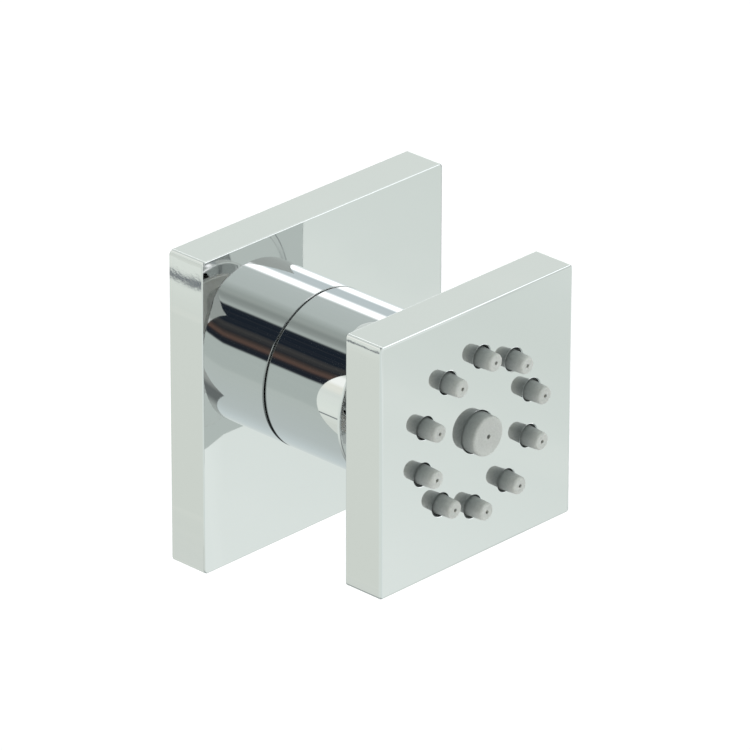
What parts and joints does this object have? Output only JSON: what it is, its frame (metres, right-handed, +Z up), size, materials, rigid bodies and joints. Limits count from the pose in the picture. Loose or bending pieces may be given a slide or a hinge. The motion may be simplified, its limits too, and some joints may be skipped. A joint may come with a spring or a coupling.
{
  "type": "shower body jet",
  "caption": "Square wall-mounted shower body jet: chrome wall flange, round ball-joint cap and a tilting square spray head with grey silicone nozzles.",
  "frame": {"origin": "centre of the inlet's mouth, in the wall plane", "axes": "+Z up, +Y into the wall along the inlet's axis, so the spray face looks along -Y; +X to the right seen from the front"},
  "size_m": [0.06, 0.0484, 0.06],
  "materials": {
    "chrome_plate": "bright mirror chrome plating on brass",
    "brass": "plain turned brass",
    "black_rubber": "matt black sealing rubber",
    "stainless_steel": "plain stainless steel",
    "white_acetal": "smooth satin white acetal",
    "grey_plastic": "moulded satin plastic",
    "grey_silicone": "soft matt grey silicone"
  },
  "bodies": {
    "wall_mount": {"wall_flange": "chrome_plate", "inlet_body": "brass", "strainer_washer": "black_rubber", "strainer_screen": "stainless_steel", "rear_seat": "white_acetal", "seat_o_ring": "black_rubber", "ball_cap": "chrome_plate", "cap_washer": "black_rubber"},
    "seat_ring": {"front_seat": "white_acetal"},
    "ball_stem": {"swivel_ball": "chrome_plate", "flow_regulator": "white_acetal", "regulator_ring": "black_rubber", "stem_o_ring": "black_rubber", "thrust_washer": "white_acetal", "retaining_ring": "stainless_steel"},
    "spray_head": {"back_cover": "chrome_plate", "cover_o_ring": "black_rubber", "jet_plate": "grey_plastic", "nozzle_mat": "grey_silicone", "head_shell": "chrome_plate"}
  },
  "joints": [
    {"name": "swivel_turn", "type": "hinge", "parent": "wall_mount", "child": "seat_ring", "pos_m": [0, -0.0201, 0], "axis": [0, 1, 0], "continuous": true},
    {"name": "swivel_tilt", "type": "hinge", "parent": "seat_ring", "child": "ball_stem", "pos_m": [0, -0.0201, 0], "axis": [1, 0, 0], "range_deg": [-15, 15]},
    {"name": "head_roll", "type": "hinge", "parent": "ball_stem", "child": "spray_head", "pos_m": [0, -0.0201, 0], "axis": [0, 1, 0], "continuous": true}
  ]
}
